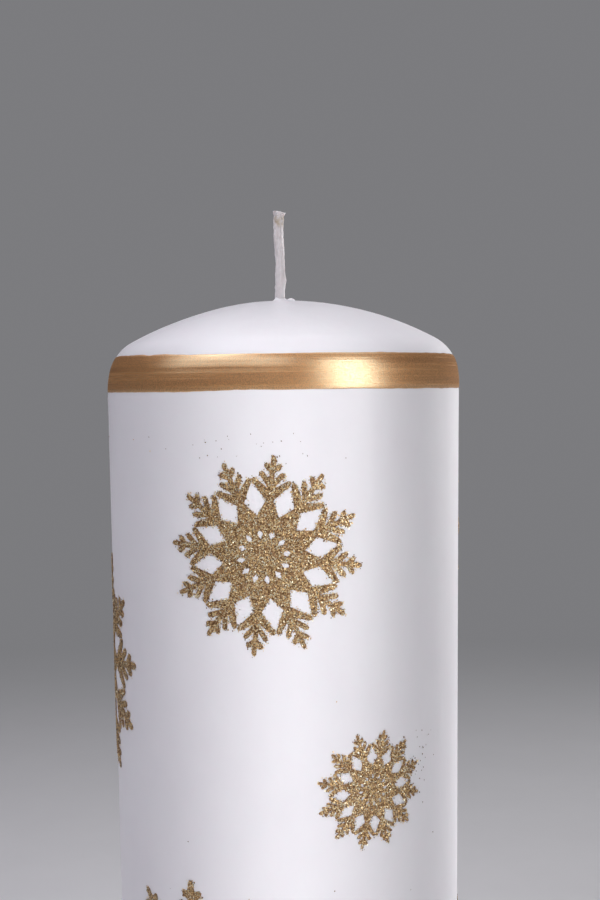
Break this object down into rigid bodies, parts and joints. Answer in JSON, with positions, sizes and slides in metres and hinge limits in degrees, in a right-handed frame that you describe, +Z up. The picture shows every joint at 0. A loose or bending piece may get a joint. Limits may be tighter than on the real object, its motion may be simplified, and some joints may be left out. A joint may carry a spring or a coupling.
{
  "type": "unity candle",
  "caption": "White pillar candle with a domed top, a short primed wick, a painted gold band round the shoulder and glitter snowflakes.",
  "frame": {"origin": "centre of the base, on the surface the candle stands on", "axes": "+Z up along the candle's axis, -Y towards the front, +X to the right seen from the front"},
  "size_m": [0.0762, 0.0762, 0.247],
  "materials": {
    "core_wax": "matte, pressed paraffin wax",
    "outer_wax": "soft gloss, dipped paraffin wax, slightly see-through",
    "cotton": "flat braided cotton",
    "priming_wax": "soft gloss wax over the braid",
    "tinned_steel": "bright tin plate",
    "gold_paint": "brushed metallic gold paint",
    "gold_glitter": "gold glitter set in clear glue"
  },
  "bodies": {
    "root": {"wax_core": "core_wax", "overdip_shell": "outer_wax", "wick": "cotton", "wick_wax_coat": "priming_wax", "wick_sustainer": "tinned_steel", "gold_band": "gold_paint", "snowflake_front_large": "gold_glitter", "snowflake_front_small": "gold_glitter", "snowflake_front_low": "gold_glitter", "snowflake_front_foot": "gold_glitter", "snowflake_left_high": "gold_glitter", "snowflake_left_low": "gold_glitter", "snowflake_left_foot": "gold_glitter", "snowflake_right_high": "gold_glitter", "snowflake_right_low": "gold_glitter", "snowflake_right_foot": "gold_glitter", "snowflake_back_high": "gold_glitter", "snowflake_back_middle": "gold_glitter", "snowflake_back_low": "gold_glitter", "snowflake_back_small_high": "gold_glitter", "snowflake_back_small_middle": "gold_glitter", "snowflake_back_small_foot": "gold_glitter"}
  },
  "joints": []
}
